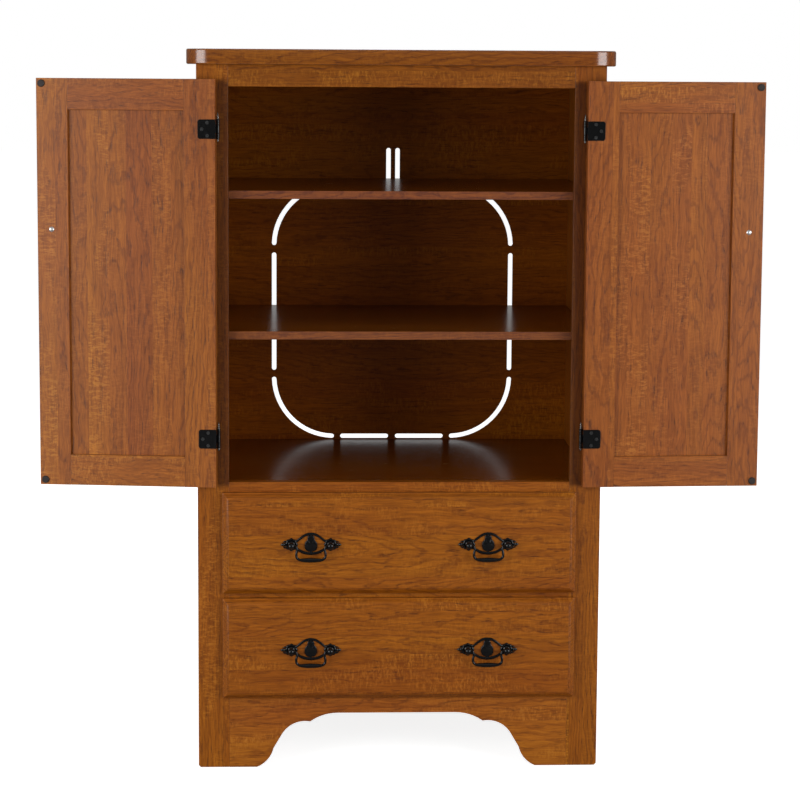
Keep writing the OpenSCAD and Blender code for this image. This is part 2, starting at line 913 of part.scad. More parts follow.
// Three screws in a triangle hold each leaf
module door_hinge_screws(left) {
    y = door_back + leaf_t;
    color(BLACK) door_place(left) at_door_hinges()
        for (p = leaf_screws) {
            x = edge_x + p[0];
            z = p[1];
            difference() {
                rod_y(y, y + head_t, x, z, head_r);
                board([x - head_r, y + head_t - slot_deep, z - slot_half],
                    [x + head_r, y + head_t + over, z + slot_half]);
            }
            rod_y(y - shank_l, y + head_t / 2, x, z, shank_r);
        }
}

module door_bumpers(left) {
    color(RUBBER) door_place(left) for (z = [door_bottom + bumper_in, door_top - bumper_in])
        translate([free_x + bumper_in, door_back, z]) rotate([-90, 0, 0]) rotate_extrude()
            polygon([[0, 0], [bumper_r, 0], [bumper_r, bumper_h - bumper_edge[1]],
                [bumper_r - bumper_edge[0], bumper_h], [0, bumper_h]]);
}

// A turned knob with a rose against the door's front
module door_knob(left) {
    color(BLACK) door_place(left) translate([free_x + knob_in, door_front, knob_z])
        rotate([90, 0, 0]) difference() {
            rotate_extrude() polygon(concat(
                [[0, 0], [knob_r, 0], [knob_r, rose_h], rose_foot, rose_neck,
                    [neck_r, neck_z0], [neck_r, neck_z1]],
                arc(0, knob_r, knob_r, knob_arc[0], knob_arc[1], 8), [[0, knob_h]]));
            translate([0, 0, -over])
                cylinder(h = knob_drill + over, r = knob_screw_r + knob_screw_clear);
        }
}

// A screw with a low domed head on the door's back
module door_knob_screw(left) {
    x = free_x + knob_in;
    dome_r = (knob_head_r * knob_head_r + knob_head_h * knob_head_h) / (2 * knob_head_h);
    color(STEEL) door_place(left) {
        rod_y(door_front - knob_screw_in, door_back + knob_head_h / 2, x, knob_z, knob_screw_r);
        translate([x, door_back, knob_z]) rotate([-90, 0, 0]) rotate_extrude()
            polygon(concat([[0, 0]],
                arc(0, knob_head_h - dome_r, dome_r, 90 - asin(knob_head_r / dome_r), 90, 4)));
    }
}

module left_door_stiles() { door_stiles(true); }
module left_door_rails() { door_rails(true); }
module left_door_panel() { door_panel(true); }
module left_door_hinge_leaves() { door_hinge_leaves(true); }
module left_door_hinge_screws() { door_hinge_screws(true); }
module left_door_bumpers() { door_bumpers(true); }
module left_door_knob() { door_knob(true); }
module left_door_knob_screw() { door_knob_screw(true); }
module right_door_stiles() { door_stiles(false); }
module right_door_rails() { door_rails(false); }
module right_door_panel() { door_panel(false); }
module right_door_hinge_leaves() { door_hinge_leaves(false); }
module right_door_hinge_screws() { door_hinge_screws(false); }
module right_door_bumpers() { door_bumpers(false); }
module right_door_knob() { door_knob(false); }
module right_door_knob_screw() { door_knob_screw(false); }

// ---------- Assembly ----------

top_panel();
left_side_panel();
right_side_panel();
left_stile();
right_stile();
top_rail();
middle_rail();
drawer_divider_rail();
apron();
back_panel();
upper_shelf();
middle_shelf();
deck();
shelf_pins();
cleats();
corner_blocks();
foot_glides();
runner_spacers();
cabinet_runners();
hinge_frame_wings();
hinge_pins();
hinge_frame_screws();
left_door_stiles();
left_door_rails();
left_door_panel();
left_door_hinge_leaves();
left_door_hinge_screws();
left_door_bumpers();
left_door_knob();
left_door_knob_screw();
right_door_stiles();
right_door_rails();
right_door_panel();
right_door_hinge_leaves();
right_door_hinge_screws();
right_door_bumpers();
right_door_knob();
right_door_knob_screw();
upper_drawer_front();
upper_drawer_sides();
upper_drawer_ends();
upper_drawer_bottom();
upper_drawer_runners();
upper_drawer_backplates();
upper_drawer_posts();
lower_drawer_front();
lower_drawer_sides();
lower_drawer_ends();
lower_drawer_bottom();
lower_drawer_runners();
lower_drawer_backplates();
lower_drawer_posts();
upper_left_bail();
upper_right_bail();
lower_left_bail();
lower_right_bail();
upper_cabinet_rollers();
lower_cabinet_rollers();
upper_drawer_rollers();
lower_drawer_rollers();
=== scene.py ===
import math

import bmesh
import bpy
from mathutils import Matrix, Vector


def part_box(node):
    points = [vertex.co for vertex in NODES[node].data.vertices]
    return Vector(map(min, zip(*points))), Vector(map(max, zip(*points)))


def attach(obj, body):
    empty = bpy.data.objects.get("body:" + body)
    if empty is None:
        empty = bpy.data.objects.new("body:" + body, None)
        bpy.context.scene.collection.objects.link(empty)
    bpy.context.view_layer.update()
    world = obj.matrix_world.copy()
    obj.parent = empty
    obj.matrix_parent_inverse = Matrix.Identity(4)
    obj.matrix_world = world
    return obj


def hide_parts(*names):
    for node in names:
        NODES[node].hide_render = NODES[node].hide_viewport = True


# Looks of the television armoire: camera, studio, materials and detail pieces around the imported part.
# Lengths are in metres in the studio and the materials, and in mm in the bevels and the pieces' tables.

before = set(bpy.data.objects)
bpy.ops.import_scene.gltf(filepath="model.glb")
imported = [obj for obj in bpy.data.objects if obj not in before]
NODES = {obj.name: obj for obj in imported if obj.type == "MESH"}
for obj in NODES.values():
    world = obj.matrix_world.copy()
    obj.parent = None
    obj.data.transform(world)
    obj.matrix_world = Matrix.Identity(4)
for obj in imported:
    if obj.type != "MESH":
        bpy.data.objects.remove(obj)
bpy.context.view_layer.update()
MM = 0.001

# Left and right, or below and above
BOTH = (-1, 1)

# ---------- Studio ----------

CAMERA_PLACE = (-0.1601, -4.5171, 1.3890)
CAMERA_YAW = 0.0388
CAMERA_PITCH = 0.1130
CAMERA_ROLL = -0.0063
CAMERA_LENS_MM = 100.28
CAMERA_SHIFT = (-0.005, -0.1065)
SENSOR_MM = 36
CAMERA_REACH = 200

# The background's strength as the camera sees it and as it lights the object
WORLD_SEEN = 1.0
WORLD_LIGHT = 0.20
WORLD_TINT = (1, 0.99, 0.98, 1)
WHITE = (1, 1, 1, 1)
FLOOR_HALF = 30.0
FLOOR_GLOW = 0.85
FLOOR_SHADE = 0.8
FLOOR_BOUNCE = 0.35


def make_camera():
    data = bpy.data.cameras.new("camera")
    data.lens = CAMERA_LENS_MM
    data.sensor_width = SENSOR_MM
    data.shift_x, data.shift_y = CAMERA_SHIFT
    data.clip_end = CAMERA_REACH
    camera = bpy.data.objects.new("camera", data)
    turn = (
        Matrix.Rotation(-CAMERA_YAW, 4, "Z")
        @ Matrix.Rotation(math.pi / 2 - CAMERA_PITCH, 4, "X")
        @ Matrix.Rotation(-CAMERA_ROLL, 4, "Z")
    )
    camera.matrix_world = Matrix.Translation(CAMERA_PLACE) @ turn
    bpy.context.scene.collection.objects.link(camera)
    bpy.context.scene.camera = camera


def make_world():
    """White to the camera, dimmer as a light, so that the finishes keep their depth."""
    world = bpy.data.worlds.new("studio")
    bpy.context.scene.world = world
    world.use_nodes = True
    tree = world.node_tree
    tree.nodes.clear()
    out = tree.nodes.new("ShaderNodeOutputWorld")
    mix = tree.nodes.new("ShaderNodeMixShader")
    path = tree.nodes.new("ShaderNodeLightPath")
    lit = tree.nodes.new("ShaderNodeBackground")
    seen = tree.nodes.new("ShaderNodeBackground")
    lit.inputs["Color"].default_value = WORLD_TINT
    lit.inputs["Strength"].default_value = WORLD_LIGHT
    seen.inputs["Color"].default_value = WHITE
    seen.inputs["Strength"].default_value = WORLD_SEEN
    tree.links.new(path.outputs["Is Camera Ray"], mix.inputs[0])
    tree.links.new(lit.outputs[0], mix.inputs[1])
    tree.links.new(seen.outputs[0], mix.inputs[2])
    tree.links.new(mix.outputs[0], out.inputs[0])


# Name, place, aim, size and power of each light
SOFTBOXES = [
    ("left_softbox", (-3.1, -2.5, 1.1), (0, -0.2, 0.6), (2.6, 2.2), 104),
    ("right_softbox", (3.1, -2.5, 1.1), (0, -0.2, 0.6), (2.6, 2.2), 106),
    ("overhead_softbox", (0, -2.4, 3.6), (0, 0, 0.9), (2.6, 1.6), 8),
    ("rear_low_softbox", (0.2, 3.4, 1.5), (0, 0, 0.9), (3.0, 1.8), 6),
    ("rear_high_softbox", (-0.4, 2.6, 3.3), (0, 0, 0.9), (2.4, 1.6), 40),
]


def softbox(name, place, target, size, power):
    data = bpy.data.lights.new(name, "AREA")
    data.shape = "RECTANGLE"
    data.size, data.size_y = size
    data.energy = power
    light = bpy.data.objects.new(name, data)
    light.visible_camera = False
    light.location = place
    aim = Vector(target) - Vector(place)
    light.rotation_euler = aim.to_track_quat("-Z", "Y").to_euler()
    bpy.context.scene.collection.objects.link(light)


def make_lights():
    for light in SOFTBOXES:
        softbox(*light)


def make_floor():
    """A pale floor that reads as near white, and keeps a soft shadow where the feet stand."""
    mesh = bpy.data.meshes.new("floor")
    h = FLOOR_HALF
    mesh.from_pydata([(-h, -h, 0), (h, -h, 0), (h, h, 0), (-h, h, 0)], [], [(0, 1, 2, 3)])
    floor = bpy.data.objects.new("floor", mesh)
    bpy.context.scene.collection.objects.link(floor)
    material = bpy.data.materials.new("floor_white")
    material.use_nodes = True
    tree = material.node_tree
    tree.nodes.clear()
    out = tree.nodes.new("ShaderNodeOutputMaterial")
    mix = tree.nodes.new("ShaderNodeMixShader")
    both = tree.nodes.new("ShaderNodeAddShader")
    path = tree.nodes.new("ShaderNodeLightPath")
    glow = tree.nodes.new("ShaderNodeEmission")
    seen = tree.nodes.new("ShaderNodeBsdfDiffuse")
    lit = tree.nodes.new("ShaderNodeBsdfDiffuse")
    glow.inputs["Strength"].default_value = FLOOR_GLOW
    seen.inputs["Color"].default_value = (FLOOR_SHADE,) * 3 + (1,)
    lit.inputs["Color"].default_value = (FLOOR_BOUNCE,) * 3 + (1,)
    tree.links.new(glow.outputs[0], both.inputs[0])
    tree.links.new(seen.outputs[0], both.inputs[1])
    tree.links.new(path.outputs["Is Camera Ray"], mix.inputs[0])
    tree.links.new(lit.outputs[0], mix.inputs[1])
    tree.links.new(both.outputs[0], mix.inputs[2])
    tree.links.new(mix.outputs[0], out.inputs[0])
    mesh.materials.append(material)


# ---------- Materials ----------


class Graph:
    """A material's node tree, built one node at a time."""

    def __init__(self, name):
        self.material = bpy.data.materials.new(name)
        self.material.use_nodes = True
        self.tree = self.material.node_tree
        self.shader = self.tree.nodes["Principled BSDF"]

    def put(self, socket, value):
        if isinstance(value, bpy.types.NodeSocket):
            self.tree.links.new(value, socket)
        elif value is not None:
            socket.default_value = value

    def node(self, kind, inputs=None, **settings):
        made = self.tree.nodes.new("ShaderNode" + kind)
        for key, value in settings.items():
            setattr(made, key, value)
        for key, value in (inputs or {}).items():
            self.put(made.inputs[key], value)
        return made

    def math(self, operation, a, b=None, c=None):
        made = self.node("Math", operation=operation)
        for socket, value in zip(made.inputs, (a, b, c)):
            self.put(socket, value)
        return made.outputs[0]

    def spread(self, value, low, high, to_low=0.0, to_high=1.0):
        """Smooth step from low..high to to_low..to_high."""
        made = self.node("MapRange", interpolation_type="SMOOTHSTEP")
        for socket, v in zip(made.inputs, (value, low, high, to_low, to_high)):
            self.put(socket, v)
        return made.outputs[0]

    def mix(self, share, a, b, blend="MIX"):
        made = self.node("Mix", data_type="RGBA", blend_type=blend)
        self.put(made.inputs["Factor"], share)
        self.put(made.inputs[6], a)
        self.put(made.inputs[7], b)
        return made.outputs[2]

    def object_point(self):
        return self.node("TexCoord").outputs["Object"]

    def normal_along(self, axis):
        """How far the surface faces along an axis of the object (0 to 2), from -1 to 1."""
        normal = self.node("TexCoord").outputs["Normal"]
        return self.node("SeparateXYZ", {"Vector": normal}).outputs[axis]

    def wide_noise(self, point, scale, detail):
        """Noise of the same scale along every axis."""
        return self.noise(point, (scale,) * 3, detail=detail)

    def scaled(self, point, scale, move=(0, 0, 0)):
        made = self.node("Mapping", {"Vector": point})
        made.inputs["Scale"].default_value = scale
        made.inputs["Location"].default_value = move
        return made.outputs[0]

    def noise(self, point, scale, detail=2.0, rough=0.5, move=(0, 0, 0), twist=0.0):
        made = self.node("TexNoise", {"Vector": self.scaled(point, scale, move)})
        made.inputs["Scale"].default_value = 1.0
        made.inputs["Detail"].default_value = detail
        made.inputs["Roughness"].default_value = rough
        made.inputs["Distortion"].default_value = twist
        return made.outputs["Fac"]

    def bump(self, height, depth, strength=1.0):
        made = self.node("Bump", {"Height": height})
        made.inputs["Strength"].default_value = strength
        made.inputs["Distance"].default_value = depth
        self.put(self.shader.inputs["Normal"], made.outputs[0])

    def finish(self, **values):
        for key, value in values.items():
            self.put(self.shader.inputs[key.replace("_", " ")], value)
        return self.material


def rgb(red, green, blue):
    """A colour from sRGB values of 0 to 255, as linear RGBA."""
    linear = [
        c / 255 / 12.92 if c <= 10 else ((c / 255 + 0.055) / 1.055) ** 2.4
        for c in (red, green, blue)
    ]
    return (*linear, 1)


# Grain directions: the object's axes that run across the grain, through the board and along the grain
UPRIGHT = "XYZ"
LEVEL = "ZYX"
SIDEWALL = "YXZ"
TABLE = "YZX"
DEEP = "ZXY"

# Dark line, ground and pale fleck of each oak print. The crown's are darker as painted shade, for the
# top that the lights reach less
OAK_TONES = {
    "face": (rgb(104, 50, 4), rgb(170, 101, 14), rgb(192, 126, 40)),
    "apron": (rgb(112, 56, 14), rgb(180, 110, 28), rgb(202, 136, 54)),
    # Crown: the same print darkened as painted shade at the top
    "crown": (rgb(94, 44, 2), rgb(155, 91, 12), rgb(176, 114, 34)),
    "door": (rgb(110, 54, 8), rgb(173, 103, 28), rgb(196, 130, 54)),
    "shelf": (rgb(78, 36, 0), rgb(144, 82, 12), rgb(162, 98, 26)),
    "back": (rgb(110, 56, 0), rgb(158, 88, 2), rgb(174, 106, 18)),
}

# Specular level and roughness of the finishes
SHEEN = {"face": 0.3, "apron": 0.3, "crown": 0.3, "door": 0.42, "shelf": 0.18, "back": 0.14}
SLAB_SHEEN = 0.8
BOARD_ROUGH = 0.4
SHELF_ROUGH = 0.22
SLAB_EDGE_ROUGH = 0.2

# The shelves' edge band covers what faces the front; the slab is matt where it faces up or down
EDGE_BAND_FACING = (-0.8, -0.5)
EDGE_BAND_LIFT = rgb(36, 34, 42)
SLAB_FLAT_FACING = (0.6, 0.9)

# Painted shade on the stiles beside the open doors, where the doors' shadow falls: where it ends out
# from the middle, at its foot and at its head
STILE_SHADE_X = (0.352, 0.362)
STILE_SHADE_Z = (0.560, 0.572)
STILE_SHADE_TOP = (1.346, 1.358)
# Tint that the painted shade multiplies into the stiles
STILE_SHADE_TONE = rgb(176, 166, 120)

# Width of the glued strips, and how far each strip and each board shifts the noises
STRIP_W = 0.042
STRIP_JUMP = (3.1, 4.7, 6.3)
BOARD_JUMP = (0.37, 0.53, 0.91)

# Noises of the woods. Scales are in cells per metre across, through and along the grain; the moves
# keep the noises of a board from lining up
ARCHES = {"scale": (10.0, 10.0, 1.25), "detail": 1.0, "rough": 0.4, "move": (5, 7, 1)}
LINES = {"scale": (11.0, 11.0, 0.16), "detail": 1.0, "rough": 0.4, "move": (2, 5, 3)}
WAVERS = {"scale": (80.0, 80.0, 30.0), "detail": 2.0, "rough": 0.6, "move": (3, 1, 2)}
SWAYS = {"scale": (24.0, 24.0, 18.0), "detail": 1.0, "move": (7, 3, 5)}
DRIFTS = {"scale": (5.0, 5.0, 1.1), "detail": 2.0}
STREAKS = {"scale": (300.0, 300.0, 16.0), "detail": 4.0, "rough": 0.7, "move": (1, 4, 9)}
BANDS = {"scale": (48.0, 48.0, 1.4), "detail": 2.0, "move": (4, 4, 2)}
PORES = {"scale": (520.0, 520.0, 36.0), "detail": 1.0, "move": (8, 2, 6)}
RAYS = {"scale": (78.0, 78.0, 230.0), "detail": 3.0, "rough": 0.65, "move": (2, 9, 4), "twist": 0.6}
ZONES = {"scale": (18.0, 18.0, 7.0), "detail": 2.0, "move": (6, 3, 8)}
PALE_FIGURE = {"scale": (26.0, 26.0, 2.0), "detail": 1.5}
PALE_STREAKS = {"scale": (260.0, 260.0, 8.0), "detail": 3.0, "rough": 0.6}
FIBRES = {"scale": (500.0, 500.0, 500.0), "detail": 4.0, "rough": 0.7}

# The span that a noise mostly keeps to, and the spans in which each feature comes up
USUAL = (0.3, 0.7)
PORE_AT = (0.54, 0.70)
RAY_AT = (0.46, 0.66)
GAP_AT = (0.34, 0.50)
ZONE_AT = (0.38, 0.62)
DRIFT_AT = (0.35, 0.65)

# Growth rings per unit of noise, how far they waver, and how far the pores sway across the grain
RINGS = 27.0
WAVER = 0.06
SWAY = 0.014

# Each ring line fades after its start and rises again before the next: phase from, to, ink from, to
RING_FADE = (0.0, 0.22, 1.0, 0.0)
RING_RISE = (0.72, 1.0, 0.0, 0.9)

# A strip whose chance passes this span is quarter-sawn, and its ring lines are weaker
SAWN_AT = (0.36, 0.46)
SAWN_LESS = -0.2

# Pores show most in the ring lines, and rays in quarter-sawn strips: share added there, and share
# kept elsewhere
PORE_IN_RING = (0.7, 0.3)
RAY_IN_SAWN = (0.65, 0.35)

# How far each feature goes toward the dark tone, the rays toward the pale one and the pores toward ink
RING_SHARE = 0.56
STREAK_SHARE = 0.62
BAND_SHARE = 0.22
GAP_SHARE = 0.32
RAY_SHARE = 0.55
PORE_SHARE = 0.6
PORE_INK = rgb(56, 24, 8)

# Tints between which the strips, and the slow drift of colour, vary
STRIP_TINTS = (rgb(255, 255, 238), rgb(238, 226, 226))
DRIFT_TINTS = (rgb(255, 253, 232), rgb(240, 226, 230))

# Relief of the grain, and the roughness of the finish over the streaks
GRAIN_DEPTH = 0.00012
GRAIN_BUMP = 0.5
STREAK_RELIEF = 0.4
OAK_ROUGH = 0.42
ROUGH_AT = (0.2, 0.8)


def grain_point(g, axes, seed):
    """Object coordinates as across, through and along the grain; each board is its own cut."""
    parts = g.node("SeparateXYZ", {"Vector": g.object_point()})
    joined = g.node("CombineXYZ")
    for socket, axis in zip(joined.inputs, axes):
        g.put(socket, parts.outputs[axis])
    return g.scaled(joined.outputs[0], (1, 1, 1), [seed * jump for jump in BOARD_JUMP])


def strips(g, point):
    """Edge-glued strips: a random colour for each strip, and the point moved by it."""
    across = g.node("SeparateXYZ", {"Vector": point}).outputs[0]
    cells = g.node("TexVoronoi", voronoi_dimensions="1D", feature="F1")
    g.put(cells.inputs["W"], g.math("DIVIDE", across, STRIP_W))
    cells.inputs["Scale"].default_value = 1.0
    chance = cells.outputs["Color"]
    jump = g.node("VectorMath", operation="MULTIPLY_ADD")
    for socket, value in zip(jump.inputs, (chance, STRIP_JUMP, point)):
        g.put(socket, value)
    return chance, jump.outputs[0]


def growth_rings(g, point, sawn):
    """0 to 1: dark at each early-wood line. Arches where sawn is 0, straight lines where it is 1."""
    arches = g.noise(point, **ARCHES)
    lines = g.noise(point, **LINES)
    waver = g.noise(point, **WAVERS)
    chosen = g.node("Mix", data_type="FLOAT", inputs={0: sawn, 2: arches, 3: lines}).outputs[0]
    bent = g.math("MULTIPLY_ADD", waver, WAVER, chosen)
    phase = g.math("FRACT", g.math("MULTIPLY", bent, RINGS))
    return g.math("MAXIMUM", g.spread(phase, *RING_FADE), g.spread(phase, *RING_RISE))


def sway(g, point):
    """The point pushed a little across the grain, so that pores run in short slanting strokes."""
    push = g.noise(point, **SWAYS)
    moved = g.node("VectorMath", operation="MULTIPLY_ADD")
    for socket, value in zip(moved.inputs, (push, (SWAY, 0, 0), point)):
        g.put(socket, value)
    return moved.outputs[0]


def oak_figure(g, point, sawn):
    """The figure at a point: ring, streak, band, pore, ray, and the dark gap between rays."""
    ring = growth_rings(g, point, sawn)
    swayed = sway(g, point)
    streak = g.noise(swayed, **STREAKS)
    band = g.noise(point, **BANDS)
    in_ring = g.math("MULTIPLY_ADD", ring, *PORE_IN_RING)
    pore = g.math("MULTIPLY", g.spread(g.noise(swayed, **PORES), *PORE_AT), in_ring)
    rays = g.noise(point, **RAYS)
    in_sawn = g.math("MULTIPLY_ADD", sawn, *RAY_IN_SAWN)
    patch = g.math("MULTIPLY", g.spread(g.noise(point, **ZONES), *ZONE_AT), in_sawn)
    ray = g.math("MULTIPLY", g.spread(rays, *RAY_AT), patch)
    gap = g.math("MULTIPLY", g.spread(rays, *GAP_AT, 1.0, 0.0), patch)
    return ring, streak, band, pore, ray, gap


def oak(name, axes, seed, tone="face", rough=OAK_ROUGH):
    """Oak-figured laminate: glued strips, growth rings, pores, streaks, ray flecks and colour drift.

    Gives the graph, the colour and the roughness.
    """
    dark, ground, fleck = OAK_TONES[tone]
    g = Graph(name)
    start = grain_point(g, axes, seed)
    chance, point = strips(g, start)
    luck = g.node("SeparateXYZ", {"Vector": chance})
    sawn = g.spread(luck.outputs[0], *SAWN_AT)
    ring, streak, band, pore, ray, gap = oak_figure(g, point, sawn)
    body = g.mix(g.spread(streak, *USUAL, STREAK_SHARE, 0.0), ground, dark)
    body = g.mix(g.spread(band, *USUAL, BAND_SHARE, 0.0), body, dark)
    ring_share = g.math("MULTIPLY_ADD", sawn, SAWN_LESS, RING_SHARE)
    body = g.mix(g.math("MULTIPLY", ring, ring_share), body, dark)
    body = g.mix(g.math("MULTIPLY", gap, GAP_SHARE), body, dark)
    body = g.mix(g.math("MULTIPLY", ray, RAY_SHARE), body, fleck)
    body = g.mix(g.math("MULTIPLY", pore, PORE_SHARE), body, PORE_INK)
    strip = g.mix(luck.outputs[1], *STRIP_TINTS)
    body = g.mix(1.0, body, strip, blend="MULTIPLY")
    drift = g.noise(start, **DRIFTS)
    shade = g.mix(g.spread(drift, *DRIFT_AT), *DRIFT_TINTS)
    body = g.mix(1.0, body, shade, blend="MULTIPLY")
    relief = g.math("MULTIPLY", streak, STREAK_RELIEF)
    g.bump(g.math("SUBTRACT", relief, pore), GRAIN_DEPTH, GRAIN_BUMP)
    return g, body, g.spread(streak, *ROUGH_AT, rough - 0.05, rough + 0.06)


def plain_board(name, axes, seed, tone):
    """A board with the oak print and nothing more."""
    g, body, rough = oak(name, axes, seed, tone, BOARD_ROUGH)
    return g.finish(Base_Color=body, Roughness=rough, Specular_IOR_Level=SHEEN[tone])


def shelf_board(name, seed):
    """A shelf or the deck: dark oak print, and a pinker edge band along the front."""
    g, body, rough = oak(name, TABLE, seed, "shelf", SHELF_ROUGH)
    front = g.spread(g.normal_along(1), *EDGE_BAND_FACING, 1.0, 0.0)
    body = g.mix(front, body, EDGE_BAND_LIFT, blend="ADD")
    return g.finish(Base_Color=body, Roughness=rough, Specular_IOR_Level=SHEEN["shelf"])


def slab_board(name, seed):
    """The top slab: matt on the flat, and glossy around its edge, where the corners catch the light."""
    # The crown tone is painted shade: the slab is darker than the fronts below
    g, body, rough = oak(name, LEVEL, seed, "crown")
    flat = g.spread(g.math("ABSOLUTE", g.normal_along(2)), *SLAB_FLAT_FACING)
    rough = g.spread(flat, 0.0, 1.0, SLAB_EDGE_ROUGH, rough)
    return g.finish(Base_Color=body, Roughness=rough, Specular_IOR_Level=SLAB_SHEEN)


def stile_board(name, seed):
    """A stile: its inner edge, which the closed door covers, is darkened with painted shade for the
    open door's shadow.
    """
    g, body, rough = oak(name, UPRIGHT, seed)
    place = g.node("SeparateXYZ", {"Vector": g.object_point()})
    across = g.math("ABSOLUTE", place.outputs[0])
    up = place.outputs[2]
    inner = g.spread(across, *STILE_SHADE_X, 1.0, 0.0)
    level = g.math("MULTIPLY", g.spread(up, *STILE_SHADE_Z), g.spread(up, *STILE_SHADE_TOP, 1.0, 0.0))
    band = g.math("MULTIPLY", inner, level)
    # Painted shade: the band beside the open door is darkened
    body = g.mix(band, body, STILE_SHADE_TONE, blend="MULTIPLY")
    return g.finish(Base_Color=body, Roughness=rough, Specular_IOR_Level=SHEEN["face"])


BACK_SEED = 9
BACK_ROUGH = 0.4
BACK_FACING = (0.2, 0.6)
CLOUD_SCALE = 9.0
CLOUD_SHARE = 0.3
HARDBOARD_TONES = (rgb(136, 100, 66), rgb(174, 134, 92))
HARDBOARD_CLOUD = rgb(122, 88, 58)
HARDBOARD_ROUGH = 0.8


def back_board(name):
    """The back panel: oak print inside, bare brown hardboard with its mesh marks outside."""
    g, body, rough = oak(name, LEVEL, BACK_SEED, "back", BACK_ROUGH)
    outside = g.spread(g.normal_along(1), *BACK_FACING)
    point = g.object_point()
    fibre = g.noise(point, **FIBRES)
    cloud = g.wide_noise(point, CLOUD_SCALE, 3.0)
    bare = g.mix(g.spread(fibre, *USUAL), *HARDBOARD_TONES)
    bare = g.mix(g.spread(cloud, *USUAL, 0.0, CLOUD_SHARE), bare, HARDBOARD_CLOUD)
    body = g.mix(outside, body, bare)
    rough = g.math("MAXIMUM", rough, g.math("MULTIPLY", outside, HARDBOARD_ROUGH))
    return g.finish(Base_Color=body, Roughness=rough, Specular_IOR_Level=SHEEN["back"])


def darker(colour, share):
    """The colour at a share of its strength."""
    return tuple(share * c for c in colour[:3]) + (1,)


METAL_CLOUD_SCALE = 60.0
METAL_CLOUD_TONE = 0.6
METAL_CLOUD_SHARE = 0.5
METAL_DEPTH = 0.00004


def plain_metal(name, colour, rough, metallic=1.0, grain=900.0, sheen=0.5):
    """Cast or plated metal: a fine grain in its roughness, and broad darker clouds."""
    g = Graph(name)
    point = g.object_point()
    fine = g.wide_noise(point, grain, 3.0)
    broad = g.wide_noise(point, METAL_CLOUD_SCALE, 2.0)
    clouds = g.spread(broad, *USUAL, 0.0, METAL_CLOUD_SHARE)
    body = g.mix(clouds, colour, darker(colour, METAL_CLOUD_TONE))
    g.bump(fine, METAL_DEPTH)
    rough = g.spread(fine, *USUAL, rough - 0.06, rough + 0.08)
    return g.finish(Base_Color=body, Metallic=metallic, Roughness=rough, Specular_IOR_Level=sheen)


PALE_RINGS = 12.0
PALE_RING_SHARE = 0.5
PALE_STREAK_SHARE = 0.6
PALE_DEPTH = 0.00015
PALE_ROUGH = 0.62


def pale_wood(name, axes, seed, dark, light):
    """Unfinished plywood or pine, for the parts inside."""
    g = Graph(name)
    point = grain_point(g, axes, seed)
    figure = g.noise(point, **PALE_FIGURE)
    rings = g.math("FRACT", g.math("MULTIPLY", figure, PALE_RINGS))
    streak = g.noise(point, **PALE_STREAKS)
    body = g.mix(g.spread(streak, *USUAL, 0.0, PALE_STREAK_SHARE), light, dark)
    body = g.mix(g.spread(rings, 0.5, 1.0, 0.0, PALE_RING_SHARE), body, dark)
    g.bump(streak, PALE_DEPTH, GRAIN_BUMP)
    return g.finish(Base_Color=body, Roughness=PALE_ROUGH)


PLASTIC_GRAIN_SCALE = 1400.0
PLASTIC_CLOUD_SCALE = 45.0
PLASTIC_CLOUD_TONE = 0.75
PLASTIC_CLOUD_SHARE = 0.35
PLASTIC_DEPTH = 0.00003


def moulded_plastic(name, colour, rough):
    """Moulded plastic, rubber or paint: a very fine grain and faint clouds."""
    g = Graph(name)
    point = g.object_point()
    fine = g.wide_noise(point, PLASTIC_GRAIN_SCALE, 2.0)
    broad = g.wide_noise(point, PLASTIC_CLOUD_SCALE, 2.0)
    clouds = g.spread(broad, *USUAL, 0.0, PLASTIC_CLOUD_SHARE)
    body = g.mix(clouds, colour, darker(colour, PLASTIC_CLOUD_TONE))
    g.bump(fine, PLASTIC_DEPTH)
    rough = g.spread(broad, *USUAL, rough - 0.05, rough + 0.1)
    return g.finish(Base_Color=body, Roughness=rough)


# ---------- CAD nodes ----------

WELD_MM = 0.01
FLAT_ANGLE = math.radians(0.4)
EDGE_ANGLE = math.radians(32)
BEVEL_SEGMENTS = 2


def dress(node, material, bevel_mm=0.0):
    """Gives a CAD node its material, and eases its edges."""
    o = NODES[node]
    o.data.materials.clear()
    o.data.materials.append(material)
    if bevel_mm:
        weld = o.modifiers.new("weld", "WELD")
        weld.merge_threshold = WELD_MM * MM
        flat = o.modifiers.new("flat", "DECIMATE")
        flat.decimate_type = "DISSOLVE"
        flat.angle_limit = FLAT_ANGLE
        ease = o.modifiers.new("ease", "BEVEL")
        ease.width = bevel_mm * MM
        ease.segments = BEVEL_SEGMENTS
        ease.limit_method = "ANGLE"
        ease.angle_limit = EDGE_ANGLE
        ease.use_clamp_overlap = True
        o.modifiers.new("shade", "WEIGHTED_NORMAL")


# Node, grain direction, tone and bevel in mm. A board's place in the list is its seed, from 1
BOARDS = [
    ("left_side_panel", SIDEWALL, "face", 0.6),
    ("right_side_panel", SIDEWALL, "face", 0.6),
    # The top rail takes the crown tone, painted shade at the top
    ("top_rail", LEVEL, "crown", 0.5),
    ("middle_rail", LEVEL, "face", 0.8),
    ("drawer_divider_rail", LEVEL, "face", 0.8),
    ("apron", LEVEL, "apron", 0.4),
    ("left_door_stiles", UPRIGHT, "door", 1.2),
    ("left_door_rails", LEVEL, "door", 1.0),
    ("left_door_panel", UPRIGHT, "door", 0.3),
    ("right_door_stiles", UPRIGHT, "door", 1.2),
    ("right_door_rails", LEVEL, "door", 1.0),
    ("right_door_panel", UPRIGHT, "door", 0.3),
    ("upper_drawer_front", LEVEL, "face", 0.7),
    ("lower_drawer_front", LEVEL, "face", 0.7),
]
SLAB_BEVEL = 3.0
STILE_SEED = 20
SHELF_SEED = 23
BOARD_BEVEL = 0.8
SHEET_BEVEL = 0.3


